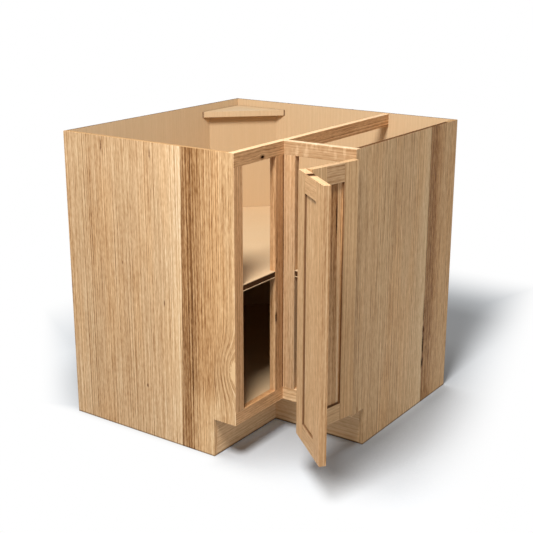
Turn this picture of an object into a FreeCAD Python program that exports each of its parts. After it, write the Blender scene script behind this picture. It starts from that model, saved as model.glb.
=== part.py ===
import FreeCAD
import Part
import os

os.makedirs("parts", exist_ok=True)

# Easy reach corner base cabinet, in millimetres, +Z up.
# The origin is the room corner at floor level. The left back panel runs along the plane X = 0 and the right
# back panel along the plane Y = 0. The cabinet fills the corner towards +X and -Y.
# Everything is laid out with the door closed, then the two leaves are turned to their open resting place.

# Outline of the cabinet
inch = 25.4
end_depth = 24.0 * inch
front_return = 9.0 * inch
cabinet_height = 34.5 * inch
toe_depth = 3.0 * inch
toe_height = 4.5 * inch

# Board thicknesses
end_thickness = 0.5 * inch
back_thickness = 0.25 * inch
frame_thickness = 0.75 * inch
floor_thickness = 0.5 * inch
toe_thickness = 0.5 * inch
shelf_thickness = 0.75 * inch
brace_thickness = 0.75 * inch
stretcher_thickness = 0.75 * inch

# Face frames, shelf and top bracing
frame_member = 1.5 * inch
back_strip_width = 2.5 * inch
shelf_rise = 14.25 * inch
shelf_clearance = 1.0
shelf_skin = 2.5
shelf_edge_depth = 3.0
shelf_edge_recess = 0.8
cleat_size = 0.75 * inch
cleat_front_margin = 70.0
cleat_back_margin = 75.0
back_cleat_half_length = 55.0
diagonal_leg = 6.4 * inch
brace_leg = 7.85 * inch
brace_drop = 0.9 * inch
stretcher_height = 1.5 * inch
stretcher_drop = 0.1 * inch
stretcher_setback = 0.25 * inch

# Door leaves
leaf_thickness = 0.75 * inch
top_overlay = 13.8
bottom_overlay = 19.4
leaf_gap = 3.0
side_overlay = 0.5 * inch
fold_gap = 2.5
leaf_stile = 55.0
leaf_rail = 50.0
groove_depth = 10.0
panel_thickness = 0.25 * inch
panel_back_recess = 0.1875 * inch

# Resting angles of the open door
swing_open = 80.0
fold_open = 30.0

# Main hinges: a pin in a notch of the right outer stile, and a bored cup in the leaf
hinge_end_distance = 90.0
pin_outset = 11.4
pin_depth = 7.6
pin_radius = 2.0
pin_fixed_clearance = 0.02
pin_running_clearance = 0.06
pin_head_radius = 3.2
pin_head_height = 1.2
notch_half_height = 26.0
notch_wall_clearance = 6.2
base_plate = 2.0
base_back_inset = 0.45
base_front_inset = 0.6
ear_outer = 24.0
ear_inner = 21.0
ear_reach = 4.2
ear_back_reach = 8.0
barrel_radius = 3.6
barrel_half_height = 20.8
arm_half_thickness = 1.5
arm_half_height = 8.0
cup_edge_distance = 22.5
cup_radius = 17.4
cup_depth = 11.4
cup_wall = 1.2
cup_flange_radius = 19.5
cup_flange = 1.5
cup_wing_half_width = 9.0
cup_wing_half_height = 32.0
cup_screw_offset = 26.5
cup_bore_clearance = 0.1
foot_half_width = 6.0
base_screw_reach = 6.8
base_screw_offset = 14.0
base_screw_length = 7.0

# Fold hinges between the leaves
fold_end_distance = 120.0
fold_half_height = 30.0
fold_middle_half = 10.0
fold_knuckle_radius = 2.5
fold_axial_gap = 0.2
fold_plate = 1.2
fold_plate_reach_1 = 27.0
fold_plate_reach_2 = 19.0
fold_pin_radius = 1.25
fold_pin_head_radius = 2.2
fold_pin_head_height = 0.8
fold_pocket_half_width = 3.9
fold_pocket_depth = 3.3
fold_pocket_half_height = 31.5
fold_cutback = 2.9
fold_cut_half = 5.0
fold_screw_offset = 18.0
fold_screw_reach_1 = 16.0
fold_screw_reach_2 = 11.5

# Wood screws
screw_radius = 1.5
screw_head_radius = 2.7
screw_head_height = 1.0
screw_length = 12.0
screw_hole_clearance = 0.05

# How far a cut runs past the face that it opens
cut_margin = 1.0

# Places worked out from the sizes above
face = end_depth
wall_run = end_depth + front_return
frame_back = face - frame_thickness
end_inside = wall_run - end_thickness
back_inside = back_thickness
opening_near = face + frame_member
opening_far = wall_run - frame_member
opening_bottom = toe_height + frame_member
opening_top = cabinet_height - frame_member
toe_face = face - toe_depth
floor_top = opening_bottom
floor_bottom = floor_top - floor_thickness
shelf_top = floor_top + shelf_rise
shelf_bottom = shelf_top - shelf_thickness
brace_top = cabinet_height - brace_drop
brace_bottom = brace_top - brace_thickness
leaf_top = opening_top + top_overlay
leaf_bottom = opening_bottom - bottom_overlay
leaf_plane = face + leaf_gap
leaf_edge = opening_far + side_overlay
leaf_1_fold_end = leaf_plane + leaf_thickness + fold_gap
leaf_1_width = leaf_edge - leaf_1_fold_end
leaf_2_width = leaf_edge - leaf_plane
fold_x = leaf_plane + leaf_thickness + fold_gap / 2
fold_y = -leaf_plane
pin_x = leaf_edge + pin_outset
pin_y = -face + pin_depth
notch_wall_x = pin_x + notch_wall_clearance
base_back_y = -frame_back - base_back_inset
base_front_y = -face + base_front_inset
ear_back_y = pin_y + ear_back_reach
base_screw_y = pin_y + base_screw_reach
panel_front_side = panel_back_recess + panel_thickness
hinge_heights = {"upper": leaf_top - hinge_end_distance, "lower": leaf_bottom + hinge_end_distance}
fold_heights = {"upper": leaf_top - fold_end_distance, "lower": leaf_bottom + fold_end_distance}
up = FreeCAD.Vector(0, 0, 1)


def box(x0, x1, y0, y1, z0, z1):
    return Part.makeBox(x1 - x0, y1 - y0, z1 - z0, FreeCAD.Vector(x0, y0, z0))


def prism(points, z0, z1):
    corners = [FreeCAD.Vector(x, y, z0) for x, y in points]
    face_outline = Part.Face(Part.makePolygon(corners + [corners[0]]))
    return face_outline.extrude(FreeCAD.Vector(0, 0, z1 - z0))


def post(x, y, z0, z1, radius):
    return Part.makeCylinder(radius, z1 - z0, FreeCAD.Vector(x, y, z0), up)


def rod(start, direction, length, radius):
    return Part.makeCylinder(radius, length, FreeCAD.Vector(*start), FreeCAD.Vector(*direction))


def joined(shapes):
    return shapes[0].multiFuse(shapes[1:]).removeSplitter()


def open_leaf_1(shape):
    moved = shape.copy()
    moved.rotate(FreeCAD.Vector(pin_x, pin_y, 0), up, swing_open)
    return moved


def open_leaf_2(shape):
    moved = shape.copy()
    moved.rotate(FreeCAD.Vector(fold_x, fold_y, 0), up, -fold_open)
    moved.rotate(FreeCAD.Vector(pin_x, pin_y, 0), up, swing_open)
    return moved


def save(name, shape):
    shape.exportStep("parts/" + name + ".step")


def screw(seat, direction, length=screw_length):
    """Pan-head wood screw whose head stands on the point seat and whose shank runs along direction."""
    back = FreeCAD.Vector(*direction).multiply(-screw_head_height)
    head_start = FreeCAD.Vector(*seat).add(back)
    head = rod(tuple(head_start), direction, screw_head_height, screw_head_radius)
    shank = rod(seat, direction, length, screw_radius)
    return joined([head, shank])


def screw_hole(seat, direction, length=screw_length):
    return rod(seat, direction, length, screw_radius + screw_hole_clearance)


# End panels with toe notches, and the strip behind the right end's seam
left_end = box(0, frame_back, -wall_run, -end_inside, 0, cabinet_height)
left_end = left_end.cut(box(toe_face, frame_back + cut_margin, -wall_run - cut_margin,
                            -end_inside + cut_margin, -cut_margin, toe_height))
save("left_end_panel", left_end)
right_end = box(end_inside, wall_run, -frame_back, -back_strip_width, 0, cabinet_height)
right_end = right_end.cut(box(end_inside - cut_margin, wall_run + cut_margin, -frame_back - cut_margin,
                              -toe_face, -cut_margin, toe_height))
save("right_end_panel", right_end)
save("right_back_strip", box(end_inside, wall_run, -back_strip_width, 0, 0, cabinet_height))

# Back panels along the two walls, and the diagonal panel across the back corner
save("left_back_panel", box(0, back_thickness, -end_inside, 0, 0, cabinet_height))
save("right_back_panel", box(back_thickness, end_inside, -back_thickness, 0, 0, cabinet_height))
slant = back_thickness * 2 ** 0.5
diagonal_points = [
    (back_inside, -back_inside - diagonal_leg),
    (back_inside + diagonal_leg, -back_inside),
    (back_inside + diagonal_leg - slant, -back_inside),
    (back_inside, -back_inside - diagonal_leg + slant),
]
save("diagonal_back_panel", prism(diagonal_points, floor_top, brace_bottom))

# Triangular corner brace and the stretcher from the inner corner to the right back panel
brace_points = [
    (back_inside, -back_inside),
    (back_inside, -back_inside - brace_leg),
    (back_inside + brace_leg, -back_inside),
]
save("corner_brace", prism(brace_points, brace_bottom, brace_top))
stretcher_side = face - stretcher_setback
stretcher_top = cabinet_height - stretcher_drop
save("top_stretcher", box(stretcher_side - stretcher_thickness, stretcher_side, -frame_back, -back_inside,
                          stretcher_top - stretcher_height, stretcher_top))

# Cabinet floor
floor_points = [
    (back_inside, -back_inside),
    (back_inside, -end_inside),
    (frame_back, -end_inside),
    (frame_back, -frame_back),
    (end_inside, -frame_back),
    (end_inside, -back_inside),
]
save("floor_panel", prism(floor_points, floor_bottom, floor_top))

# Shelf with tabs that reach the front plane through both openings, and dark strips in its front edges
loose = shelf_clearance
shelf_back = back_inside + loose
shelf_end = end_inside - loose
shelf_front = frame_back - loose
tab_near = opening_near + loose
tab_far = opening_far - loose
corner_cut = back_inside + diagonal_leg + loose * (2 ** 0.5 - 1)
shelf_points = [
    (shelf_back, -corner_cut),
    (shelf_back, -shelf_end),
    (shelf_front, -shelf_end),
    (shelf_front, -tab_far),
    (face, -tab_far),
    (face, -tab_near),
    (shelf_front, -tab_near),
    (shelf_front, -shelf_front),
    (tab_near, -shelf_front),
    (tab_near, -face),
    (tab_far, -face),
    (tab_far, -shelf_front),
    (shelf_end, -shelf_front),
    (shelf_end, -shelf_back),
    (corner_cut, -shelf_back),
]
strip_low = shelf_bottom + shelf_skin
strip_high = shelf_top - shelf_skin
edge_in = face - shelf_edge_depth
edge_out = face - shelf_edge_recess
shelf = prism(shelf_points, shelf_bottom, shelf_top)
shelf = shelf.cut(box(edge_in, face + cut_margin, -tab_far - cut_margin, -tab_near + cut_margin,
                      strip_low, strip_high))
shelf = shelf.cut(box(tab_near - cut_margin, tab_far + cut_margin, -face - cut_margin, -edge_in,
                      strip_low, strip_high))
save("shelf_board", shelf)
save("shelf_edge_left", box(edge_in, edge_out, -tab_far, -tab_near, strip_low, strip_high))
save("shelf_edge_right", box(tab_near, tab_far, -edge_out, -edge_in, strip_low, strip_high))

# Cleats under the shelf: on each end panel, and across the diagonal panel
cleat_low = shelf_bottom - cleat_size
save("shelf_cleat_left", box(cleat_back_margin, frame_back - cleat_front_margin, -end_inside,
                             -end_inside + cleat_size, cleat_low, shelf_bottom))
save("shelf_cleat_right", box(end_inside - cleat_size, end_inside, -frame_back + cleat_front_margin,
                              -cleat_back_margin, cleat_low, shelf_bottom))
middle_x = back_inside + diagonal_leg / 2
middle_y = -back_inside - diagonal_leg / 2
along = back_cleat_half_length / 2 ** 0.5
across = cleat_size / 2 ** 0.5
back_cleat_points = [
    (middle_x - along, middle_y - along),
    (middle_x + along, middle_y + along),
    (middle_x + along + across, middle_y + along - across),
    (middle_x - along + across, middle_y - along - across),
]
save("shelf_cleat_back", prism(back_cleat_points, cleat_low, shelf_bottom))

# Toe boards, from the ground up to the underside of the cabinet floor
save("left_toe_board", box(toe_face - toe_thickness, toe_face, -end_inside, -toe_face + toe_thickness,
                           0, floor_bottom))
save("right_toe_board", box(toe_face, end_inside, -toe_face, -toe_face + toe_thickness, 0, floor_bottom))

# Left face frame: rails run the full width, stiles stand between them
save("left_top_rail", box(frame_back, face, -wall_run, -frame_back, opening_top, cabinet_height))
save("left_bottom_rail", box(frame_back, face, -wall_run, -frame_back, toe_height, opening_bottom))
save("left_outer_stile", box(frame_back, face, -wall_run, -opening_far, opening_bottom, opening_top))
save("left_inner_stile", box(frame_back, face, -opening_near, -frame_back, opening_bottom, opening_top))

# Right face frame, with a notch for each main hinge in its outer stile
save("right_top_rail", box(face, wall_run, -face, -frame_back, opening_top, cabinet_height))
save("right_bottom_rail", box(face, wall_run, -face, -frame_back, toe_height, opening_bottom))
save("right_inner_stile", box(face, opening_near, -face, -frame_back, opening_bottom, opening_top))
outer_stile = box(opening_far, wall_run, -face, -frame_back, opening_bottom, opening_top)
base_screws = []
for height in hinge_heights.values():
    notch = box(opening_far - cut_margin, notch_wall_x, -face - cut_margin, -frame_back + cut_margin,
                height - notch_half_height, height + notch_half_height)
    outer_stile = outer_stile.cut(notch)
    for side in (-1, 1):
        seat = (notch_wall_x - base_plate, base_screw_y, height + side * base_screw_offset)
        base_screws.append(screw(seat, (1, 0, 0), base_screw_length))
        outer_stile = outer_stile.cut(screw_hole(seat, (1, 0, 0), base_screw_length))
save("right_outer_stile", outer_stile)
save("hinge_base_screws", Part.makeCompound(base_screws))


def leaf_1_box(u0, u1, t0, t1, z0, z1):
    """Box in leaf 1: u runs from the hinge edge to the fold, t from the back to the outer face."""
    return box(leaf_edge - u1, leaf_edge - u0, -leaf_plane - t1, -leaf_plane - t0, z0, z1)


def leaf_2_box(u0, u1, t0, t1, z0, z1):
    """Box in leaf 2: u runs from the fold to the free edge, t from the back to the outer face."""
    return box(leaf_plane + t0, leaf_plane + t1, -leaf_plane - u1, -leaf_plane - u0, z0, z1)


def leaf_pieces(block, width):
    """Stiles, rails and flat panel of one leaf, with grooves and stub tenons."""
    t0 = panel_back_recess
    t1 = panel_front_side
    near = leaf_stile
    far = width - leaf_stile
    low = leaf_bottom + leaf_rail
    high = leaf_top - leaf_rail
    groove_near = near - groove_depth
    groove_far = far + groove_depth
    groove_low = low - groove_depth
    groove_high = high + groove_depth
    below = leaf_bottom - cut_margin
    above = leaf_top + cut_margin
    first = block(0, near, 0, leaf_thickness, leaf_bottom, leaf_top)
    first = first.cut(block(groove_near, near + cut_margin, t0, t1, below, above))
    second = block(far, width, 0, leaf_thickness, leaf_bottom, leaf_top)
    second = second.cut(block(far - cut_margin, groove_far, t0, t1, below, above))
    top = joined([block(near, far, 0, leaf_thickness, high, leaf_top),
                  block(groove_near, groove_far, t0, t1, groove_high, leaf_top)])
    top = top.cut(block(groove_near - cut_margin, groove_far + cut_margin, t0, t1,
                        high - cut_margin, groove_high))
    bottom = joined([block(near, far, 0, leaf_thickness, leaf_bottom, low),
                     block(groove_near, groove_far, t0, t1, leaf_bottom, groove_low)])
    bottom = bottom.cut(block(groove_near - cut_margin, groove_far + cut_margin, t0, t1,
                              groove_low, low + cut_margin))
    panel = block(groove_near, groove_far, t0, t1, groove_low, groove_high)
    return first, second, top, bottom, panel


hinge_stile, fold_stile_1, top_1, bottom_1, panel_1 = leaf_pieces(leaf_1_box, leaf_1_width)
fold_stile_2, free_stile, top_2, bottom_2, panel_2 = leaf_pieces(leaf_2_box, leaf_2_width)

# Main hinges
cup_x = leaf_edge - cup_edge_distance
flange_y = -leaf_plane + cup_flange
cup_floor_y = -leaf_plane - cup_depth + cup_wall
bore_half = ear_outer + cut_margin
into_leaf = (0, -1, 0)
cup_screws = []
for place, height in hinge_heights.items():
    plate = box(notch_wall_x - base_plate, notch_wall_x, base_front_y, base_back_y,
                height - notch_half_height, height + notch_half_height)
    ears = []
    for low, high in ((ear_inner, ear_outer), (-ear_outer, -ear_inner)):
        ears.append(box(pin_x - ear_reach, notch_wall_x - base_plate, pin_y - ear_reach, ear_back_y,
                        height + low, height + high))
    base = joined([plate] + ears)
    base = base.cut(post(pin_x, pin_y, height - bore_half, height + bore_half,
                         pin_radius + pin_fixed_clearance))
    for side in (-1, 1):
        seat = (notch_wall_x - base_plate, base_screw_y, height + side * base_screw_offset)
        base = base.cut(screw_hole(seat, (1, 0, 0), base_screw_length))
    save("hinge_" + place + "_base", base)

    pin_top = height + ear_outer
    pin = joined([post(pin_x, pin_y, height - ear_outer, pin_top, pin_radius),
                  post(pin_x, pin_y, pin_top, pin_top + pin_head_height, pin_head_radius)])
    save("hinge_" + place + "_pin", pin)

    barrel = post(pin_x, pin_y, height - barrel_half_height, height + barrel_half_height, barrel_radius)
    bar = box(cup_x - foot_half_width, pin_x, pin_y - arm_half_thickness, pin_y + arm_half_thickness,
              height - arm_half_height, height + arm_half_height)
    foot = box(cup_x - foot_half_width, cup_x + foot_half_width, cup_floor_y, pin_y,
               height - arm_half_height, height + arm_half_height)
    arm = joined([barrel, bar, foot])
    arm = arm.cut(post(pin_x, pin_y, height - bore_half, height + bore_half,
                       pin_radius + pin_running_clearance))
    save("hinge_" + place + "_arm", open_leaf_1(arm))

    shell = rod((cup_x, -leaf_plane, height), into_leaf, cup_depth, cup_radius)
    ring = rod((cup_x, flange_y, height), into_leaf, cup_flange, cup_flange_radius)
    wings = box(cup_x - cup_wing_half_width, cup_x + cup_wing_half_width, -leaf_plane, flange_y,
                height - cup_wing_half_height, height + cup_wing_half_height)
    cup = joined([shell, ring, wings])
    hollow = rod((cup_x, flange_y + cut_margin, height), into_leaf, flange_y + cut_margin - cup_floor_y,
                 cup_radius - cup_wall)
    cup = cup.cut(hollow)
    bore = rod((cup_x, -leaf_plane + cut_margin, height), into_leaf, cup_depth + cut_margin,
               cup_radius + cup_bore_clearance)
    hinge_stile = hinge_stile.cut(bore)
    for side in (-1, 1):
        seat = (cup_x, flange_y, height + side * cup_screw_offset)
        cup_screws.append(screw(seat, into_leaf))
        cup = cup.cut(screw_hole(seat, into_leaf))
        hinge_stile = hinge_stile.cut(screw_hole(seat, into_leaf))
    save("hinge_" + place + "_cup", open_leaf_1(cup))
save("hinge_cup_screws", open_leaf_1(Part.makeCompound(cup_screws)))

# Fold hinges: flat plates on the back of leaf 1 and on the end of leaf 2, three knuckles on one pin
plate_face = fold_y + fold_plate
screws_1 = []
screws_2 = []
for place, height in fold_heights.items():
    low = height - fold_half_height
    high = height + fold_half_height
    middle_low = height - fold_middle_half
    middle_high = height + fold_middle_half
    plate_1 = joined([
        box(fold_x, fold_x + fold_plate_reach_1, fold_y, plate_face, low, high),
        post(fold_x, fold_y, low, middle_low - fold_axial_gap, fold_knuckle_radius),
        post(fold_x, fold_y, middle_high + fold_axial_gap, high, fold_knuckle_radius),
    ])
    cut_front = fold_y - fold_cut_half
    cut_back = fold_y + fold_cut_half
    plate_1 = plate_1.cut(box(fold_x - fold_cut_half, fold_x + fold_cutback, cut_front, cut_back,
                              middle_low - fold_axial_gap, middle_high + fold_axial_gap))
    below = low - cut_margin
    above = high + cut_margin
    plate_1 = plate_1.cut(post(fold_x, fold_y, below, above, fold_pin_radius + pin_fixed_clearance))
    plate_2 = box(fold_x - fold_plate_reach_2, fold_x, fold_y, plate_face, low, high)
    for cut_low, cut_high in ((below, middle_low), (middle_high, above)):
        plate_2 = plate_2.cut(box(fold_x - fold_cutback, fold_x + fold_cut_half, cut_front, cut_back,
                                  cut_low, cut_high))
    plate_2 = joined([plate_2, post(fold_x, fold_y, middle_low, middle_high, fold_knuckle_radius)])
    plate_2 = plate_2.cut(post(fold_x, fold_y, below, above, fold_pin_radius + pin_running_clearance))
    pin = joined([post(fold_x, fold_y, low, high, fold_pin_radius),
                  post(fold_x, fold_y, high, high + fold_pin_head_height, fold_pin_head_radius)])
    pocket = box(fold_x - fold_pocket_half_width, fold_x + fold_pocket_half_width, fold_y - fold_pocket_depth,
                 fold_y + cut_margin, height - fold_pocket_half_height, height + fold_pocket_half_height)
    fold_stile_1 = fold_stile_1.cut(pocket)
    fold_stile_2 = fold_stile_2.cut(pocket)
    for side in (-1, 1):
        seat_1 = (fold_x + fold_screw_reach_1, plate_face, height + side * fold_screw_offset)
        seat_2 = (fold_x - fold_screw_reach_2, plate_face, height + side * fold_screw_offset)
        screws_1.append(screw(seat_1, into_leaf))
        screws_2.append(screw(seat_2, into_leaf))
        plate_1 = plate_1.cut(screw_hole(seat_1, into_leaf))
        plate_2 = plate_2.cut(screw_hole(seat_2, into_leaf))
        fold_stile_1 = fold_stile_1.cut(screw_hole(seat_1, into_leaf))
        fold_stile_2 = fold_stile_2.cut(screw_hole(seat_2, into_leaf))
    save("fold_" + place + "_plate_1", open_leaf_1(plate_1))
    save("fold_" + place + "_plate_2", open_leaf_2(plate_2))
    save("fold_" + place + "_pin", open_leaf_1(pin))
save("fold_screws_1", open_leaf_1(Part.makeCompound(screws_1)))
save("fold_screws_2", open_leaf_2(Part.makeCompound(screws_2)))

# Door leaf 1
save("leaf_1_hinge_stile", open_leaf_1(hinge_stile))
save("leaf_1_fold_stile", open_leaf_1(fold_stile_1))
save("leaf_1_top_rail", open_leaf_1(top_1))
save("leaf_1_bottom_rail", open_leaf_1(bottom_1))
save("leaf_1_panel", open_leaf_1(panel_1))

# Door leaf 2
save("leaf_2_fold_stile", open_leaf_2(fold_stile_2))
save("leaf_2_free_stile", open_leaf_2(free_stile))
save("leaf_2_top_rail", open_leaf_2(top_2))
save("leaf_2_bottom_rail", open_leaf_2(bottom_2))
save("leaf_2_panel", open_leaf_2(panel_2))
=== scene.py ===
import math

import bpy
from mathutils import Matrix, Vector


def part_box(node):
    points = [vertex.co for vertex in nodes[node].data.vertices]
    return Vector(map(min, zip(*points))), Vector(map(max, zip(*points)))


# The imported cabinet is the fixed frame. Every length is in metres, in the same frame.
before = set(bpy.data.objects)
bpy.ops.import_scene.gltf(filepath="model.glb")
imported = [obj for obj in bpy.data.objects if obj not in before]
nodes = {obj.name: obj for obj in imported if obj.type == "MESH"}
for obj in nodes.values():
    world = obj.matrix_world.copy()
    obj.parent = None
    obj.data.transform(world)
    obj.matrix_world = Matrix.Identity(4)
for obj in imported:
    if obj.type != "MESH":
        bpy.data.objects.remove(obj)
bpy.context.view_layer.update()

# Places on the cabinet that the finishes refer to: the front plane of the frames, the length along each wall,
# the hinge axes of the leaves, and the turns that close them from the photographed pose
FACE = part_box("left_inner_stile")[1].x
WALL_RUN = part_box("right_end_panel")[1].x
MAIN_PIN = (0.8242, -0.6020, 0.0)
FOLD_PIN = (0.6329, -0.6126, 0.0)
MAIN_TURN = -80.0
FOLD_TURN = 30.0
CLOSE_LEAF_1 = ((MAIN_PIN, MAIN_TURN),)
CLOSE_LEAF_2 = ((MAIN_PIN, MAIN_TURN), (FOLD_PIN, FOLD_TURN))

# Camera, at the photograph's viewing angle
CAMERA_PLACE = (2.17899, -2.92743, 1.36977)
CAMERA_TILT = 73.083
CAMERA_TURN = 35.063
CAMERA_LENS = 70.107
CAMERA_SENSOR = 36.0
CAMERA_NEAR = 0.05
CAMERA_FAR = 300.0

# Light: a soft box above the front, a weak fill from the right and an even surround
BOX_PLACE = (1.14, -2.40, 3.20)
BOX_AIM = (0.40, -0.45, 0.40)
BOX_SIZE = 1.05
BOX_POWER = 145.0
FILL_PLACE = (3.20, -1.00, 0.32)
FILL_AIM = (0.84, -0.50, 0.35)
FILL_SIZE = 0.6
FILL_POWER = 7.0
SURROUND_LEVEL = 0.32

# Floor: a plain tone round the cabinet's foot, which takes its shadow
FLOOR_HALF = 60.0
FLOOR_DROP = 0.0004
FLOOR_TONE = (0.82, 0.85, 0.88, 1.0)
FLOOR_BOUNCE = (0.38, 0.41, 0.45, 1.0)

# Fades of the floor to white, as distances from the cabinet's sides where each starts and ends. The front has
# three fades side by side: before the left end, before the notch, and before the open door.
RIGHT_LEAN = 0.28
RIGHT_FADE = (-0.01, 0.24)
LEFT_LEAN = 1.05
LEFT_FADE = (0.0, 0.18)
LEFT_FAR = (0.40, 0.85)
BACK_FADE = (0.80, 1.25)
END_FADE = (-0.03, 0.03)
FRONT_SIDE = (0.52, 0.58)
FRONT_FADE = (-0.03, 0.08)
DOOR_SIDE = (0.62, 0.80)
DOOR_FADE = (-0.14, 0.10)

# Soft shade on the floor near the foot: full beside the cabinet, weaker in front of it
CONTACT_REACH = 0.40
CONTACT_POWER = 1.4
CONTACT_EDGE = 0.03
CONTACT_FRONT = (-0.90, -0.55)
CONTACT_LEAST = 0.50

# Oval of the floor in the left toe space, painted lighter and cooler against the brown cast of light bounced
# from the wood
NOTCH_CENTRE = (0.48, -0.56)
NOTCH_HALF = (0.10, 0.24)
NOTCH_SOFT = 0.5
NOTCH_TINT = (0.86, 1.02, 1.24, 1.0)

WHITE = (1.0, 1.0, 1.0, 1.0)
BLACK = (0.0, 0.0, 0.0, 1.0)


def screen(red, green, blue):
    """Linear colour of an 8-bit screen colour."""
    levels = []
    for level in (red, green, blue):
        share = level / 255.0
        levels.append(share / 12.92 if share <= 0.04045 else ((share + 0.055) / 1.055) ** 2.4)
    return (levels[0], levels[1], levels[2], 1.0)


# Wood tones from the darkest streak to the palest sapwood
WOOD_TONES = (
    (0.00, screen(80, 47, 23)),
    (0.22, screen(139, 95, 55)),
    (0.42, screen(187, 144, 99)),
    (0.58, screen(210, 170, 125)),
    (0.76, screen(232, 196, 150)),
    (1.00, screen(250, 225, 187)),
)
LAMINATE_TONES = (
    (0.00, screen(174, 143, 106)),
    (0.45, screen(194, 163, 125)),
    (0.62, screen(201, 171, 133)),
    (1.00, screen(232, 205, 168)),
)
RAW_TONES = (
    (0.00, screen(150, 112, 76)),
    (0.40, screen(190, 152, 110)),
    (0.60, screen(205, 170, 128)),
    (1.00, screen(226, 196, 156)),
)
SHELF_BAND_TONES = ((0.25, screen(46, 28, 15)), (0.55, screen(78, 50, 29)), (0.8, screen(120, 84, 52)))
STEEL_TONES = ((0.3, screen(176, 176, 174)), (0.7, screen(206, 206, 203)))

# Tints that a board's colour is multiplied by
COOL_TINT = (0.985, 0.995, 0.995, 1.0)
WARM_TINT = (1.02, 0.985, 0.935, 1.0)
RED_BOARD = (1.0, 0.925, 0.88, 1.0)
ROSE_BOARD = (1.03, 0.985, 0.96, 1.0)
PALE_BOARD = (0.98, 1.01, 1.09, 1.0)
BLOND_BOARD = (1.015, 1.04, 1.09, 1.0)

# Colours of knots, sawn edges, lines of painted shade and seams, and the painted shade at the foot, whose
# tone also darkens one knot
KNOT_DARK = screen(30, 18, 10)
KNOT_RIM = screen(112, 66, 34)
PALE_HEART = screen(240, 204, 156)
TAN_EDGE = screen(184, 144, 100)
DARK_EDGE = screen(84, 50, 27)
SHADE_AND_SEAM_TONE = screen(92, 58, 34)
FLECK_TONE = screen(108, 68, 38)
FOOT_SHADE_AND_KNOT_TONE = screen(66, 40, 22)


class Graph:
    """Adds nodes to one node tree and links them."""

    def __init__(self, tree):
        self.tree = tree

    def add(self, kind, inputs=None, **settings):
        node = self.tree.nodes.new(kind)
        for name, setting in settings.items():
            setattr(node, name, setting)
        for key, source in (inputs or {}).items():
            self.feed(node.inputs[key], source)
        return node

    def feed(self, socket, source):
        if isinstance(source, bpy.types.NodeSocket):
            self.tree.links.new(source, socket)
        else:
            socket.default_value = source

    def math(self, operation, first, second=0.0):
        return self.add("ShaderNodeMath", {0: first, 1: second}, operation=operation).outputs[0]

    def plus(self, first, second):
        return self.math("ADD", first, second)

    def minus(self, first, second):
        return self.math("SUBTRACT", first, second)

    def times(self, first, second):
        return self.math("MULTIPLY", first, second)

    def larger(self, first, second):
        return self.math("MAXIMUM", first, second)

    def smaller(self, first, second):
        return self.math("MINIMUM", first, second)

    def vector(self, x, y, z):
        return self.add("ShaderNodeCombineXYZ", {0: x, 1: y, 2: z}).outputs[0]

    def split(self, vector):
        return self.add("ShaderNodeSeparateXYZ", {0: vector}).outputs

    def noise(self, across, depth, along, scales, detail=2.0, roughness=0.5):
        """Smooth noise from 0 to 1, scales being its cells to a metre across and along the grain."""
        scaled = self.vector(self.times(across, scales[0]), self.times(depth, scales[0]),
                             self.times(along, scales[1]))
        settings = {"Vector": scaled, "Scale": 1.0, "Detail": detail, "Roughness": roughness}
        return self.add("ShaderNodeTexNoise", settings).outputs[0]

    def step(self, value, low, high):
        """0 below low, 1 above high, smooth between."""
        limits = {"Value": value, "From Min": low, "From Max": high, "To Min": 0.0, "To Max": 1.0}
        return self.add("ShaderNodeMapRange", limits, interpolation_type="SMOOTHSTEP").outputs[0]

    def fall(self, value, low, high):
        """1 below low, 0 above high, smooth between."""
        return self.minus(1.0, self.step(value, low, high))

    def around(self, value, share):
        """A 0 to 1 noise turned into a swing either side of zero."""
        return self.times(self.minus(value, 0.5), share)

    def ramp(self, factor, stops):
        node = self.add("ShaderNodeValToRGB", {"Fac": factor})
        elements = node.color_ramp.elements
        elements[0].position = stops[0][0]
        elements[0].color = stops[0][1]
        elements[1].position = stops[-1][0]
        elements[1].color = stops[-1][1]
        for place, colour in stops[1:-1]:
            elements.new(place).color = colour
        return node.outputs["Color"]

    def levels(self, factor, stops):
        """A plain number that follows stops of (place from 0 to 1, level)."""
        return self.ramp(factor, [(place, (level, level, level, 1.0)) for place, level in stops])

    def mix(self, factor, first, second, blend="MIX"):
        node = self.add("ShaderNodeMix", data_type="RGBA", blend_type=blend)
        self.feed(node.inputs[0], factor)
        self.feed(node.inputs[6], first)
        self.feed(node.inputs[7], second)
        return node.outputs[2]

    def tint(self, factor, colour, tint):
        return self.mix(factor, colour, tint, "MULTIPLY")

    def blend(self, factor, first, second):
        node = self.add("ShaderNodeMix", data_type="FLOAT")
        self.feed(node.inputs[0], factor)
        self.feed(node.inputs[2], first)
        self.feed(node.inputs[3], second)
        return node.outputs[0]


# Strength of the reflection: satin wood, plated steel, and none on sawn edges and in knots
SATIN = 0.10
BRIGHT = 0.5
DULL = 0.0


class Finish:
    """Colour, relief, roughness and gloss of one kind of surface, as sockets or plain values."""

    def __init__(self, colour, relief, roughness, gloss=SATIN):
        self.colour = colour
        self.relief = relief
        self.roughness = roughness
        self.gloss = gloss


# Growth rings across a board: their number, unevenness and slant, the edges of their dark line and its gaps
RINGS_PER_METRE = 96.0
RING_WARP = 2.6
RING_WARP_SCALES = (16.0, 0.6)
RING_DEPTH_SHARE = 0.45
RING_START = (0.50, 0.90)
RING_END = (0.93, 1.0)
RING_GAP_SCALES = (110.0, 7.0)
RING_GAPS = (0.36, 0.60)


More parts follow.
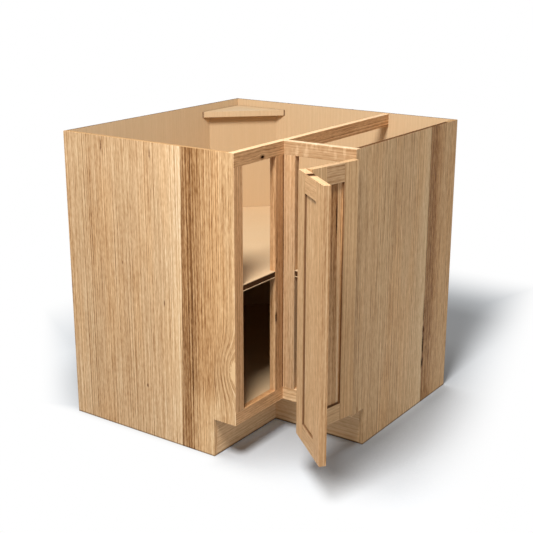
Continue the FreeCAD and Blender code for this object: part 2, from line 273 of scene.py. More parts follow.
def growth_lines(graph, across, depth, along):
    """Thin dark lines along the grain, one to a growth ring, of uneven strength and broken in places."""
    warp = graph.noise(across, depth, along, RING_WARP_SCALES, 2.0)
    spread = graph.plus(across, graph.times(depth, RING_DEPTH_SHARE))
    rings = graph.plus(graph.times(spread, RINGS_PER_METRE), graph.times(warp, RING_WARP))
    share = graph.math("FRACT", rings)
    line = graph.times(graph.step(share, *RING_START), graph.fall(share, *RING_END))
    number = graph.math("FLOOR", rings)
    strength = graph.add("ShaderNodeTexWhiteNoise", {"W": number}, noise_dimensions="1D").outputs["Value"]
    broken = graph.step(graph.noise(across, depth, along, RING_GAP_SCALES, 2.0), *RING_GAPS)
    return graph.times(graph.times(line, strength), broken)


# Layers of the wood pattern: cells to a metre across and along the grain, and the step of tone of each
SWAY_SCALES = (4.0, 0.5)
SWAY_WIDTH = 0.004
BAND_SCALES = (9.0, 0.35)
BAND_SHARE = 0.15
STREAK_SCALES = (250.0, 0.9)
STREAK_SHARE = 0.44
LINE_SCALES = (270.0, 11.0)
LINE_SHARE = 0.36
SPECKLE_SCALES = (290.0, 60.0)
SPECKLE_SHARE = 0.36
RING_SHARE = -0.09
PORE_SCALES = (1500.0, 34.0)
PORE_LIMITS = (0.55, 0.68)
PORE_SHARE = -0.10
DASH_SCALES = (250.0, 4.0)
DASH_LIMITS = (0.64, 0.72)
DASH_SHARE = -0.17
PLAIN_LEVEL = 0.59

# A streak is the difference between the wood here and this far across, which leaves only narrow ones
STREAK_STEP = 0.004

# Small dark flecks: cells that may hold one, the share that do not, the fleck's edge in its cell and its tone
FLECK_CELLS = (13.0, 4.0)
FLECK_CHOICE = 0.72
FLECK_EDGE = (0.015, 0.05)
FLECK_SHARE = -0.30

# Slow change of hue, relief and roughness
HUE_SCALES = (12.0, 1.5)
COOL_HUE = (0.36, 0.52)
WARM_HUE = (0.48, 0.64)
LINE_RELIEF = 0.35
PORE_RELIEF = -0.65
FLECK_RELIEF = -0.4
PLAIN_ROUGHNESS = 0.50
PORE_ROUGHNESS = 0.12
STREAK_ROUGHNESS = 0.16


def grain_group(name, tones, streak, pores):
    """Shared wood pattern: bands, growth lines, streaks, open pores and small flecks along the grain."""
    group = bpy.data.node_groups.new(name, "ShaderNodeTree")
    for label in ("Across", "Depth", "Along", "Tone", "Contrast"):
        group.interface.new_socket(name=label, in_out="INPUT", socket_type="NodeSocketFloat")
    group.interface.new_socket(name="Color", in_out="OUTPUT", socket_type="NodeSocketColor")
    group.interface.new_socket(name="Relief", in_out="OUTPUT", socket_type="NodeSocketFloat")
    group.interface.new_socket(name="Roughness", in_out="OUTPUT", socket_type="NodeSocketFloat")
    graph = Graph(group)
    start = graph.add("NodeGroupInput")
    end = graph.add("NodeGroupOutput")
    across, depth, along, tone, contrast = [start.outputs[place] for place in range(5)]

    sway = graph.around(graph.noise(across, depth, along, SWAY_SCALES, 1.0), SWAY_WIDTH)
    across = graph.plus(across, sway)
    bands = graph.noise(across, depth, along, BAND_SCALES, 1.0)
    beside = graph.noise(graph.plus(across, STREAK_STEP), depth, along, STREAK_SCALES, 1.0)
    streaks = graph.minus(graph.noise(across, depth, along, STREAK_SCALES, 1.0), beside)
    lines = graph.noise(across, depth, along, LINE_SCALES, 1.0)
    speckle = graph.noise(across, depth, along, SPECKLE_SCALES, 1.0)
    rings = growth_lines(graph, across, depth, along)
    pore = graph.step(graph.noise(across, depth, along, PORE_SCALES, 1.0), *PORE_LIMITS)
    dash = graph.step(graph.noise(across, depth, along, DASH_SCALES, 1.0), *DASH_LIMITS)

    level = graph.plus(graph.around(bands, BAND_SHARE * streak), graph.times(streaks, STREAK_SHARE * streak))
    level = graph.plus(level, graph.around(lines, LINE_SHARE * streak))
    level = graph.plus(level, graph.around(speckle, SPECKLE_SHARE * streak))
    level = graph.plus(level, graph.times(rings, RING_SHARE * streak))
    level = graph.plus(level, graph.times(pore, PORE_SHARE * pores))
    level = graph.plus(level, graph.times(dash, DASH_SHARE * pores))
    level = graph.plus(graph.times(level, contrast), graph.plus(tone, PLAIN_LEVEL))

    cells = graph.vector(graph.times(across, FLECK_CELLS[0]), graph.times(depth, FLECK_CELLS[0]),
                         graph.times(along, FLECK_CELLS[1]))
    spots = graph.add("ShaderNodeTexVoronoi", {"Vector": cells, "Scale": 1.0, "Randomness": 1.0})
    chosen = graph.math("GREATER_THAN", graph.split(spots.outputs["Color"])[0], FLECK_CHOICE)
    fleck = graph.fall(spots.outputs["Distance"], *FLECK_EDGE)
    fleck = graph.times(graph.times(fleck, chosen), pores)
    level = graph.plus(level, graph.times(fleck, FLECK_SHARE))

    colour = graph.ramp(level, tones)
    hue = graph.noise(across, depth, along, HUE_SCALES, 2.0)
    colour = graph.tint(graph.times(graph.fall(hue, *COOL_HUE), streak), colour, COOL_TINT)
    colour = graph.tint(graph.times(graph.step(hue, *WARM_HUE), streak), colour, WARM_TINT)
    relief = graph.plus(graph.times(lines, LINE_RELIEF), graph.times(pore, PORE_RELIEF))
    relief = graph.plus(relief, graph.times(fleck, FLECK_RELIEF))
    rough = graph.plus(graph.times(streaks, STREAK_ROUGHNESS), PLAIN_ROUGHNESS)
    rough = graph.plus(graph.times(pore, PORE_ROUGHNESS), rough)
    graph.feed(end.inputs[0], colour)
    graph.feed(end.inputs[1], relief)
    graph.feed(end.inputs[2], rough)
    return group


GRAINS = {
    "wood": grain_group("wood_grain", WOOD_TONES, 1.0, 1.0),
    "laminate": grain_group("laminate_grain", LAMINATE_TONES, 0.22, 0.08),
    "raw": grain_group("raw_grain", RAW_TONES, 1.1, 0.6),
}

# Distance that one step of the seed moves the pattern across, through and along the grain
SEED_STEPS = (0.731, 0.417, 1.913)


def grain(graph, kind, across, depth, along, tone=0.0, seed=0.0, contrast=1.0):
    """One use of a shared wood pattern. The seed moves it to a fresh stretch of wood."""
    node = graph.add("ShaderNodeGroup", node_tree=GRAINS[kind])
    for place, socket in enumerate((across, depth, along)):
        graph.feed(node.inputs[place], graph.plus(socket, seed * SEED_STEPS[place]))
    graph.feed(node.inputs[3], tone)
    graph.feed(node.inputs[4], contrast)
    return Finish(node.outputs[0], node.outputs[1], node.outputs[2])


# Knots: usual reach along the grain and strength of the brown rim, the rim's size and softness beside the
# dark core, the unevenness of the outline as a share of the half width, and the depth of the core
KNOT_REACH = 0.1
RIM_SHARE = 0.55
RIM_WIDE = 1.9
RIM_TALL = 1.6
RIM_SOFT = 0.7
KNOT_RAGGED = 1.6
KNOT_RAGGED_SCALES = (300.0, 160.0)
KNOT_SINK = -0.8

# Share of the usual grain spacing, squared, that is left inside a knot
HEART_SHARE = 0.12

# Dark lines round a swirl: their unevenness, their reach beside the knot's own, and their strength
SWIRL_RAGGED = 0.010
SWIRL_RAGGED_SCALES = (45.0, 14.0)
SWIRL_WIDE = 1.6
SWIRL_TALL = 1.7
SWIRL_SOFT = 0.9
SWIRL_DEPTH = 0.14


class Knot:
    """A knot, check or pale heart in a board, by its place across and along the grain and its half sizes.

    flow is how far it pushes the grain aside and reach how far along the grain it does so. A ring, the
    spacing of dark lines, makes it a swirl. face is the axis and side of the only faces that show it,
    if not all do."""

    def __init__(self, across, along, half_width, half_length, flow=0.0, reach=KNOT_REACH,
                 core=KNOT_DARK, strength=1.0, rim=RIM_SHARE, face=None, ring=0.0):
        self.centre = (across, along)
        self.half_width = half_width
        self.half_length = half_length
        self.flow = flow
        self.reach = reach
        self.core = core
        self.strength = strength
        self.rim = rim
        self.face = face
        self.ring = ring


def spot(graph, aside, ahead, half_width, half_length, soft=0.45):
    """1 inside an oval of these half sizes, fading to 0 just outside it."""
    wide = graph.times(aside, 1.0 / half_width)
    tall = graph.times(ahead, 1.0 / half_length)
    return graph.fall(graph.plus(graph.times(wide, wide), graph.times(tall, tall)), 1.0 - soft, 1.0 + soft)


def flow_round(graph, across, along, knot):
    """The undisturbed grain line through each point, where the grain parts round a knot."""
    aside = graph.minus(across, knot.centre[0])
    ahead = graph.times(graph.minus(along, knot.centre[1]), 1.0 / knot.reach)
    swell = graph.math("EXPONENT", graph.times(graph.times(ahead, ahead), -1.0))
    swell = graph.times(swell, knot.flow * knot.flow)
    square = graph.times(aside, aside)
    parted = graph.larger(graph.minus(square, swell), graph.times(square, HEART_SHARE))
    parted = graph.times(graph.math("SIGN", aside), graph.math("SQRT", parted))
    return graph.plus(parted, knot.centre[0])


def swirl_round(graph, across, along, knot):
    """The undisturbed grain line through each point, where a swirl pushes the grain aside in ovals."""
    aside = graph.times(graph.minus(across, knot.centre[0]), 1.0 / knot.flow)
    ahead = graph.times(graph.minus(along, knot.centre[1]), 1.0 / knot.reach)
    square = graph.plus(graph.times(aside, aside), graph.times(ahead, ahead))
    swell = graph.times(graph.math("EXPONENT", graph.times(square, -1.0)), knot.flow)
    return graph.plus(across, swell)


def swirl_lines(graph, across, depth, along, line, knot):
    """Dark lines that follow the grain round a swirl."""
    ragged = graph.around(graph.noise(across, depth, along, SWIRL_RAGGED_SCALES, 2.0), SWIRL_RAGGED)
    wave = graph.math("SINE", graph.times(graph.plus(line, ragged), 2.0 * math.pi / knot.ring))
    aside = graph.minus(across, knot.centre[0])
    ahead = graph.minus(along, knot.centre[1])
    zone = spot(graph, aside, ahead, knot.flow * SWIRL_WIDE, knot.reach * SWIRL_TALL, SWIRL_SOFT)
    return graph.times(graph.times(graph.step(wave, 0.0, 1.0), zone), -SWIRL_DEPTH)


def knotted(graph, kind, across, depth, along, tone, seed, knots, contrast=1.0):
    """Wood grain with knots that the grain flows round."""
    line = across
    for knot in knots:
        if knot.ring:
            line = swirl_round(graph, line, along, knot)
            tone = graph.plus(tone, swirl_lines(graph, across, depth, along, line, knot))
        elif knot.flow:
            line = flow_round(graph, line, along, knot)
    finish = grain(graph, kind, line, depth, along, tone, seed, contrast)
    for knot in knots:
        rough = graph.noise(across, depth, along, KNOT_RAGGED_SCALES, 2.0)
        ragged = graph.around(rough, knot.half_width * KNOT_RAGGED)
        aside = graph.plus(graph.minus(across, knot.centre[0]), ragged)
        ahead = graph.minus(along, knot.centre[1])
        shown = graph.times(facing(graph, *knot.face), knot.strength) if knot.face else knot.strength
        core = spot(graph, aside, ahead, knot.half_width, knot.half_length)
        if knot.rim:
            rim = spot(graph, aside, ahead, knot.half_width * RIM_WIDE, knot.half_length * RIM_TALL, RIM_SOFT)
            rim = graph.times(graph.times(rim, knot.rim), shown)
            finish.colour = graph.mix(rim, finish.colour, KNOT_RIM)
        finish.colour = graph.mix(graph.times(core, shown), finish.colour, knot.core)
        finish.gloss = graph.blend(core, finish.gloss, DULL)
        finish.relief = graph.plus(finish.relief, graph.times(core, KNOT_SINK))
    return finish


# Tone of the end boards across their width, as stops of place and level, level 0.5 being the plain tone
END_WIDTH = 0.62
END_STRIPS = (
    (0.000, 0.470), (0.040, 0.500), (0.110, 0.480), (0.230, 0.455), (0.380, 0.470), (0.500, 0.520),
    (0.570, 0.535), (0.620, 0.600), (0.668, 0.610), (0.6735, 0.560), (0.6760, 0.100), (0.6800, 0.240),
    (0.692, 0.265), (0.712, 0.200), (0.735, 0.215), (0.765, 0.330), (0.810, 0.410), (0.870, 0.475),
    (0.930, 0.490), (0.965, 0.530), (0.985, 0.620), (1.000, 0.630),
)
END_SWIRL = Knot(0.606, 0.273, 0.015, 0.032, 0.050, 0.068, PALE_HEART, 0.8, 0.0, ring=0.0180)
END_FLECKS = (
    Knot(0.210, 0.518, 0.0014, 0.004, core=FLECK_TONE, strength=0.7),
    Knot(0.363, 0.425, 0.0018, 0.006, core=FLECK_TONE, strength=0.7),
    Knot(0.290, 0.158, 0.0022, 0.004, core=FLECK_TONE),
    Knot(0.145, 0.850, 0.0016, 0.014, core=FLECK_TONE, strength=0.8),
    Knot(0.325, 0.845, 0.0016, 0.012, core=FLECK_TONE, strength=0.6),
)
END_CRACKS = (
    Knot(0.4395, 0.244, 0.0042, 0.012),
    Knot(0.4400, 0.196, 0.0036, 0.034, strength=0.9),
    Knot(0.4405, 0.136, 0.0040, 0.016),
    Knot(0.4385, 0.300, 0.0026, 0.030, strength=0.6),
)

# The second, darker board: where it starts, the wander of its strips, its short figure and its warmth
SECOND_START = (0.677, 0.705)
STRIP_WANDER = 0.055
STRIP_WANDER_SCALES = (34.0, 4.0)
HEART_FIGURE = 0.34
HEART_FIGURE_SCALES = (210.0, 24.0)
SECOND_WARMTH = 0.7

# Broad soft patches on both boards
END_PATCHES = 0.12
END_PATCH_SCALES = (5.0, 2.5)

# Paler patch low on the second board: where it starts and ends across the board, its height and its tone
FOOT_PALE_START = (0.70, 0.76)
FOOT_PALE_END = (0.86, 0.93)
FOOT_PALE_HEIGHT = (0.13, 0.23)
FOOT_PALE = 0.14


class EndLayout:
    """One cabinet end: the shift of its two boards at the ground, their lean with height, the grain's seed
    and contrast, its knots, a tint of the first board and the tone of a pale patch low on the second."""

    def __init__(self, shift, lean, seed, contrast, knots, first_tint=None, foot_pale=0.0):
        self.shift = shift
        self.lean = lean
        self.seed = seed
        self.contrast = contrast
        self.knots = knots
        self.first_tint = first_tint
        self.foot_pale = foot_pale


LEFT_LAYOUT = EndLayout(0.0, 0.0195, 1.0, 1.08, (END_SWIRL,) + END_FLECKS, BLOND_BOARD, FOOT_PALE)
RIGHT_LAYOUT = EndLayout(0.0215, -0.0057, 7.0, 0.95, END_CRACKS)


def end_board(graph, across, depth, along, layout):
    """Veneer of the cabinet ends: two wide boards with a heartwood strip beside their joint."""
    leaning = graph.minus(graph.minus(across, layout.shift), graph.times(along, layout.lean))
    place = graph.times(leaning, 1.0 / END_WIDTH)
    wander = graph.around(graph.noise(across, depth, along, STRIP_WANDER_SCALES, 2.0), STRIP_WANDER)
    second_board = graph.step(place, *SECOND_START)
    place = graph.plus(place, graph.times(wander, second_board))
    tone = graph.times(graph.minus(graph.levels(place, END_STRIPS), 0.5), layout.contrast)
    flame = graph.around(graph.noise(across, depth, along, HEART_FIGURE_SCALES, 2.0), HEART_FIGURE)
    patches = graph.around(graph.noise(across, depth, along, END_PATCH_SCALES, 2.0), END_PATCHES)
    tone = graph.plus(tone, graph.plus(graph.times(flame, second_board), patches))
    if layout.foot_pale:
        zone = graph.times(graph.step(place, *FOOT_PALE_START), graph.fall(place, *FOOT_PALE_END))
        zone = graph.times(zone, graph.fall(along, *FOOT_PALE_HEIGHT))
        tone = graph.plus(tone, graph.times(zone, layout.foot_pale))
    finish = knotted(graph, "wood", across, depth, along, tone, layout.seed, layout.knots, layout.contrast)
    finish.colour = graph.tint(graph.times(second_board, SECOND_WARMTH), finish.colour, WARM_TINT)
    if layout.first_tint:
        first_board = graph.minus(1.0, second_board)
        finish.colour = graph.tint(first_board, finish.colour, layout.first_tint)
    return finish


def turned(graph, vector, turns, moves=True):
    """A place or direction of an open leaf, turned back to where it is with the door closed."""
    for centre, angle in turns:
        settings = {"Vector": vector, "Angle": math.radians(angle)}
        if moves:
            settings["Center"] = centre
        vector = graph.add("ShaderNodeVectorRotate", settings, rotation_type="Z_AXIS").outputs[0]
    return vector


def object_place(graph, turns=()):
    """Coordinates of the piece in the cabinet frame, with the door closed."""
    return graph.split(turned(graph, graph.add("ShaderNodeTexCoord").outputs["Object"], turns))


# Least share of a face's normal along an axis for the face to count as looking that way
FACING_LEAST = 0.6


def facing(graph, axis, side, turns=()):
    """1 on faces that look along one axis with the door closed, by side +1 or -1."""
    normal = graph.split(turned(graph, graph.add("ShaderNodeTexCoord").outputs["Normal"], turns, False))
    return graph.math("GREATER_THAN", graph.times(normal["XYZ".index(axis)], side), FACING_LEAST)


def board_axes(graph, axes, turns=()):
    """Coordinates across, through and along the grain, axes naming them such as YXZ."""
    place = object_place(graph, turns)
    return [place["XYZ".index(axis)] for axis in axes]


def pick(graph, mask, first, second):
    """The second finish where the mask is 1, the first elsewhere."""
    return Finish(graph.mix(mask, first.colour, second.colour),
                  graph.blend(mask, first.relief, second.relief),
                  graph.blend(mask, first.roughness, second.roughness),
                  graph.blend(mask, first.gloss, second.gloss))


# Torn fibres on a sawn edge, and the share of the edge's own colour between them
TORN_SCALES = (260.0, 260.0)
TORN_ROUGHNESS = 0.65
TORN_SHARE = 0.25
SAWN_SHARE = 0.78


def sawn_edge(graph, colour, seed):
    """Sawn edge of a sheet: one colour with its layers and torn fibres showing."""
    place = object_place(graph)
    torn = graph.noise(*place, TORN_SCALES, 3.0, TORN_ROUGHNESS)
    finish = grain(graph, "raw", *place, 0.0, seed)
    finish.colour = graph.mix(graph.plus(graph.times(torn, TORN_SHARE), SAWN_SHARE), finish.colour, colour)
    finish.gloss = DULL
    return finish


# Painted contact shade, a dark line at the foot of a board: its height, and its strength on the ends and on
# the toe boards
FOOT_SHADE_HEIGHT = (0.0015, 0.006)
END_FOOT_SHADE = 0.62
TOE_FOOT_SHADE = 0.90


def painted_foot_shade(graph, finish, share):
    """Painted shade: a dark line where a board stands on the ground."""
    low = graph.fall(object_place(graph)[2], *FOOT_SHADE_HEIGHT)
    finish.colour = graph.mix(graph.times(low, share), finish.colour, FOOT_SHADE_AND_KNOT_TONE)
    return finish


def new_material(name):
    material = bpy.data.materials.new(name)
    material.use_nodes = True
    material.node_tree.nodes.clear()
    return material, Graph(material.node_tree)


# Depth of the relief on each material, and its strength
WOOD_RELIEF = 0.00035
LAMINATE_RELIEF = 0.00008
SHELF_BAND_RELIEF = 0.0004
STEEL_RELIEF = 0.0001
RELIEF_STRENGTH = 0.35
STEEL_STRENGTH = 0.15


def close_material(graph, finish, relief_depth, strength=RELIEF_STRENGTH, metal=0.0):
    """Ends a material in a shader with a fine relief."""
    shader = graph.add("ShaderNodeBsdfPrincipled", {"Base Color": finish.colour, "Metallic": metal})
    graph.feed(shader.inputs["Roughness"], finish.roughness)
    graph.feed(shader.inputs["Specular IOR Level"], finish.gloss)
    bump = graph.add("ShaderNodeBump", {"Strength": strength, "Distance": relief_depth})
    graph.feed(bump.inputs["Height"], finish.relief)
    graph.feed(shader.inputs["Normal"], bump.outputs["Normal"])
    output = graph.add("ShaderNodeOutputMaterial")
    graph.feed(output.inputs["Surface"], shader.outputs[0])


def dress(node, material):
    piece = nodes[node]
    piece.data.materials.clear()
    piece.data.materials.append(material)


# Pale cross-grain flecks and the patches that they gather in
CURL_SCALES = (34.0, 90.0)
CURL_LIMITS = (0.46, 0.64)
CURL_PATCH_SCALES = (14.0, 11.0)
CURL_PATCH_LIMITS = (0.40, 0.60)


def curl(graph, across, depth, along, strength):
    """Pale cross-grain flecks that gather in patches."""
    flecks = graph.step(graph.noise(across, depth, along, CURL_SCALES, 2.0), *CURL_LIMITS)
    patches = graph.step(graph.noise(across, depth, along, CURL_PATCH_SCALES, 1.0), *CURL_PATCH_LIMITS)
    return graph.times(graph.times(flecks, patches), strength)


# Painted highlight on an upper edge, as a step of tone, and a smaller one on the upper edges of the leaves
TOP_HIGHLIGHT = 0.30
LEAF_TOP_HIGHLIGHT = 0.06


def member(graph, kind, axes, seed, tone=0.0, turns=(), knots=(), top=TOP_HIGHLIGHT, figure=0.0, contrast=1.0,
           tint=None):
    """Solid wood with one grain direction, its upper faces stepped in tone: a painted highlight, and painted
    shade where the step is below zero.
    """
    across, depth, along = board_axes(graph, axes, turns)
    if top:
        tone = graph.plus(graph.times(facing(graph, "Z", 1), top), tone)
    if figure:
        tone = graph.plus(curl(graph, across, depth, along, figure), tone)
    finish = knotted(graph, kind, across, depth, along, tone, seed, knots, contrast)
    if tint:
        finish.colour = graph.tint(1.0, finish.colour, tint)
    return finish


# Shade on the edges that frame a leaf's flat panel
DARK_SHADE = 0.80
LIGHT_SHADE = 0.25


def solid_wood(node, kind, axes, seed, tone=0.0, shaded=None, shade_depth=None, **more):
    """A board of one grain direction. One edge is shaded where its axis, side and share are given, over its
    whole depth or up to the start and end of a fade in depth."""
    material, graph = new_material(node)
    finish = member(graph, kind, axes, seed, tone, **more)
    if shaded:
        turns = more.get("turns", ())
        edge = graph.times(facing(graph, shaded[0], shaded[1], turns), shaded[2])
        if shade_depth:
            edge = graph.times(edge, graph.fall(board_axes(graph, axes, turns)[1], *shade_depth))
        finish.colour = graph.mix(edge, finish.colour, SHADE_AND_SEAM_TONE)
    close_material(graph, finish, WOOD_RELIEF)
    dress(node, material)


# Contrast of boards with a quiet grain
QUIET = 0.65


def toe_wood(node, axes, seed, tone, tint):
    """A toe board, with a dark line of painted shade along its foot."""
    material, graph = new_material(node)
    finish = member(graph, "wood", axes, seed, tone, contrast=QUIET, tint=tint)
    close_material(graph, painted_foot_shade(graph, finish, TOE_FOOT_SHADE), WOOD_RELIEF)
    dress(node, material)


# Shade in the corner where a leaf's flat panel meets its stiles and rails
BORDER_CORE = 0.0012
BORDER_REACH = 0.0034
BORDER_SHARE = 0.80

# Edge of the pale sapwood in a panel: its wander and its width
SAPWOOD_WANDER = 0.003
SAPWOOD_WANDER_SCALES = (20.0, 6.0)
SAPWOOD_EDGE = 0.002


def leaf_panel(node, axes, seed, tone, turns, sight, tint, knots=(), sapwood=None, slope=0.0):
    """Flat panel of a leaf: sight is the edges of its frame across and upwards, sapwood the place of its pale
    edge, its lean and its step of tone, slope the change of tone to a metre of height."""
    material, graph = new_material(node)
    across, depth, along = board_axes(graph, axes, turns)
    if sapwood:
        place, lean, pale_tone = sapwood
        wander = graph.around(graph.noise(across, depth, along, SAPWOOD_WANDER_SCALES, 2.0), SAPWOOD_WANDER)
        leaning = graph.plus(across, graph.times(along, lean))
        pale = graph.step(graph.plus(leaning, wander), place, place + SAPWOOD_EDGE)
        tone = graph.plus(graph.times(pale, pale_tone), tone)
    low_across, high_across, low, high = sight
    tone = graph.plus(graph.times(graph.minus(along, 0.5 * (low + high)), slope), tone)
    finish = knotted(graph, "wood", across, depth, along, tone, seed, knots)
    finish.colour = graph.tint(1.0, finish.colour, tint)
    inset = graph.smaller(graph.minus(across, low_across), graph.minus(high_across, across))
    rise = graph.smaller(graph.minus(along, low), graph.minus(high, along))
    line = graph.fall(graph.smaller(inset, rise), BORDER_CORE, BORDER_REACH)
    finish.colour = graph.mix(graph.times(line, BORDER_SHARE), finish.colour, SHADE_AND_SEAM_TONE)
    close_material(graph, finish, WOOD_RELIEF)
    dress(node, material)


def end_side(graph, side):
    """The veneer of the left or right cabinet end, placed on that end, and the faces that carry it."""
    if side == "left":
        across, depth, along = board_axes(graph, "XYZ")
        return end_board(graph, across, depth, along, LEFT_LAYOUT), facing(graph, "Y", -1)
    across, depth, along = board_axes(graph, "YXZ")
    across = graph.plus(across, FACE)
    return end_board(graph, across, depth, along, RIGHT_LAYOUT), facing(graph, "X", 1)


def frame_wood(node, side, axes, seed, tone=0.0, **more):
    """A face-frame member whose outer side continues the veneer of the cabinet end."""
    material, graph = new_material(node)
    front = member(graph, "wood", axes, seed, tone, **more)
    veneer, mask = end_side(graph, side)
    close_material(graph, pick(graph, mask, front, veneer), WOOD_RELIEF)
    dress(node, material)


# Seeds of a plywood end's inside, sawn upper edge and front edge
INSIDE_SEED = 3.0
SAWN_SEED = 4.0
FRONT_SEED = 5.0


def end_panel(node, side, front_axis, front_side, edge_colour):
    """A plywood end: veneer outside, pale laminate inside, a sawn upper edge and a wood edge in front."""
    material, graph = new_material(node)
    place = object_place(graph)
    finish = grain(graph, "laminate", *place, 0.0, INSIDE_SEED)
    finish = pick(graph, facing(graph, "Z", 1), finish, sawn_edge(graph, edge_colour, SAWN_SEED))
    front = grain(graph, "wood", *place, 0.0, FRONT_SEED)
    finish = pick(graph, facing(graph, front_axis, front_side), finish, front)
    veneer, mask = end_side(graph, side)
    # The foot gets a dark line of painted shade
    finish = painted_foot_shade(graph, pick(graph, mask, finish, veneer), END_FOOT_SHADE)
    close_material(graph, finish, WOOD_RELIEF)
    dress(node, material)


# Painted shade, a dark line along the walls on the brace: the fade of its width, and its strength
BRACE_SHADE_WIDTH = (0.002, 0.005)
BRACE_SHADE_SHARE = 0.8


def brace_panel(node, seed, tone):
    """The brace across the back corner, with a dark line of painted shade where it meets each wall."""
    material, graph = new_material(node)
    place = object_place(graph)
    finish = grain(graph, "laminate", *place, tone, seed)
    low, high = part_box(node)
    gap = graph.smaller(graph.minus(place[0], low.x), graph.minus(high.y, place[1]))
    line = graph.times(graph.fall(gap, *BRACE_SHADE_WIDTH), BRACE_SHADE_SHARE)
    finish.colour = graph.mix(line, finish.colour, SHADE_AND_SEAM_TONE)
    close_material(graph, finish, LAMINATE_RELIEF)
    dress(node, material)


# Step from a sheet's seed to the seed of its raw side
RAW_SEED_STEP = 5.0


def sheet_panel(node, seed, tone=0.0, edge_colour=None, raw_axis=None, raw_side=1):
    """A laminated board, with a sawn upper edge and a raw outer side where these are given."""
    material, graph = new_material(node)
    place = object_place(graph)
    finish = grain(graph, "laminate", *place, tone, seed)
    if edge_colour:
        finish = pick(graph, facing(graph, "Z", 1), finish, sawn_edge(graph, edge_colour, seed))
    if raw_axis:
        raw = grain(graph, "raw", *place, 0.0, seed + RAW_SEED_STEP)
        finish = pick(graph, facing(graph, raw_axis, raw_side), finish, raw)
    close_material(graph, finish, LAMINATE_RELIEF)
    dress(node, material)


# Cabinet ends, backs, floor and shelf
end_panel("left_end_panel", "left", "X", 1, TAN_EDGE)
end_panel("right_end_panel", "right", "Y", -1, DARK_EDGE)
end_panel("right_back_strip", "right", "Y", -1, TAN_EDGE)
sheet_panel("left_back_panel", 11.0, 0.12, DARK_EDGE, "X", -1)
sheet_panel("right_back_panel", 12.0, 0.08, DARK_EDGE, "Y", 1)
sheet_panel("diagonal_back_panel", 13.0)
brace_panel("corner_brace", 14.0, 0.08)
sheet_panel("floor_panel", 15.0, -0.04, None, "Z", -1)
sheet_panel("shelf_board", 16.0, 0.10)

# Face frames, with a knot, a check, and the dark line in the corner where the frames meet
BLACK_KNOT = Knot(0.8469, -0.7098, 0.0042, 0.0070, 0.009, 0.020)
INNER_CHECK = Knot(-0.6445, 0.377, 0.0030, 0.014, 0.004, 0.05, face=("X", 1))
LEFT_CORNER = Knot(-FACE, 0.49, 0.0013, 0.70, rim=0.0, core=SHADE_AND_SEAM_TONE)
RIGHT_CORNER = Knot(FACE, 0.49, 0.0013, 0.70, rim=0.0, core=SHADE_AND_SEAM_TONE)
frame_wood("left_top_rail", "left", "ZXY", 21.0, -0.02, knots=(BLACK_KNOT,), tint=RED_BOARD)
# Upper face darkened by a step of painted shade
frame_wood("left_bottom_rail", "left", "ZXY", 22.0, 0.03, top=-0.12, tint=RED_BOARD)
frame_wood("left_outer_stile", "left", "YXZ", 23.0, 0.04, tint=RED_BOARD)
solid_wood("left_inner_stile", "wood", "YXZ", 24.0, -0.04, knots=(INNER_CHECK, LEFT_CORNER), tint=RED_BOARD)
frame_wood("right_top_rail", "right", "ZYX", 25.0, -0.12, figure=0.16, contrast=0.55, tint=PALE_BOARD)
frame_wood("right_bottom_rail", "right", "ZYX", 26.0, 0.04, top=0.05)
solid_wood("right_inner_stile", "wood", "XYZ", 27.0, -0.08, knots=(RIGHT_CORNER,), contrast=0.8,
           tint=PALE_BOARD)
frame_wood("right_outer_stile", "right", "XYZ", 28.0, 0.02)

# Stretcher, cleats and toe boards
solid_wood("top_stretcher", "wood", "ZXY", 31.0, -0.04, tint=RED_BOARD)
solid_wood("shelf_cleat_left", "wood", "ZYX", 32.0)
solid_wood("shelf_cleat_right", "wood", "ZXY", 33.0)
solid_wood("shelf_cleat_back", "wood", "ZXY", 34.0)
toe_wood("left_toe_board", "ZXY", 35.0, 0.06, BLOND_BOARD)
toe_wood("right_toe_board", "ZYX", 36.0, 0.17, ROSE_BOARD)

# Door leaves, in the places that they have with the door closed
LEAF_1_SIGHT = (0.68915, 0.7612, 0.1830, 0.8020)
LEAF_2_SIGHT = (-0.7578, -0.6676, 0.1830, 0.8020)
PANEL_SLOPE = -0.42
PANEL_SAPWOOD = (0.7515, 0.0172, 0.32)
STILE_SHADE = (-0.6282, -0.6270)
PANEL_CRACK = Knot(0.7385, 0.705, 0.0020, 0.045, 0.003, 0.08)
TOP_KNOT = Knot(0.852, -0.6880, 0.006, 0.012, 0.006, 0.03, core=FOOT_SHADE_AND_KNOT_TONE, face=("Z", 1))
solid_wood("leaf_1_hinge_stile", "wood", "XYZ", 41.0, -0.05, ("X", -1, DARK_SHADE), STILE_SHADE,
           turns=CLOSE_LEAF_1, top=LEAF_TOP_HIGHLIGHT, contrast=QUIET)
solid_wood("leaf_1_fold_stile", "wood", "XYZ", 42.0, -0.05,
           turns=CLOSE_LEAF_1, top=LEAF_TOP_HIGHLIGHT, contrast=QUIET)
solid_wood("leaf_1_top_rail", "wood", "ZYX", 43.0, -0.14,
           turns=CLOSE_LEAF_1, top=LEAF_TOP_HIGHLIGHT, contrast=QUIET, tint=PALE_BOARD)
solid_wood("leaf_1_bottom_rail", "wood", "ZYX", 44.0, -0.05, ("Z", 1, DARK_SHADE),
           turns=CLOSE_LEAF_1, top=0.0, contrast=QUIET)
leaf_panel("leaf_1_panel", "XYZ", 45.0, -0.19, CLOSE_LEAF_1, LEAF_1_SIGHT, ROSE_BOARD, (PANEL_CRACK,),
           PANEL_SAPWOOD, PANEL_SLOPE)
solid_wood("leaf_2_fold_stile", "wood", "YXZ", 46.0, 0.03, ("Y", -1, DARK_SHADE),
           turns=CLOSE_LEAF_2, top=LEAF_TOP_HIGHLIGHT, tint=ROSE_BOARD)
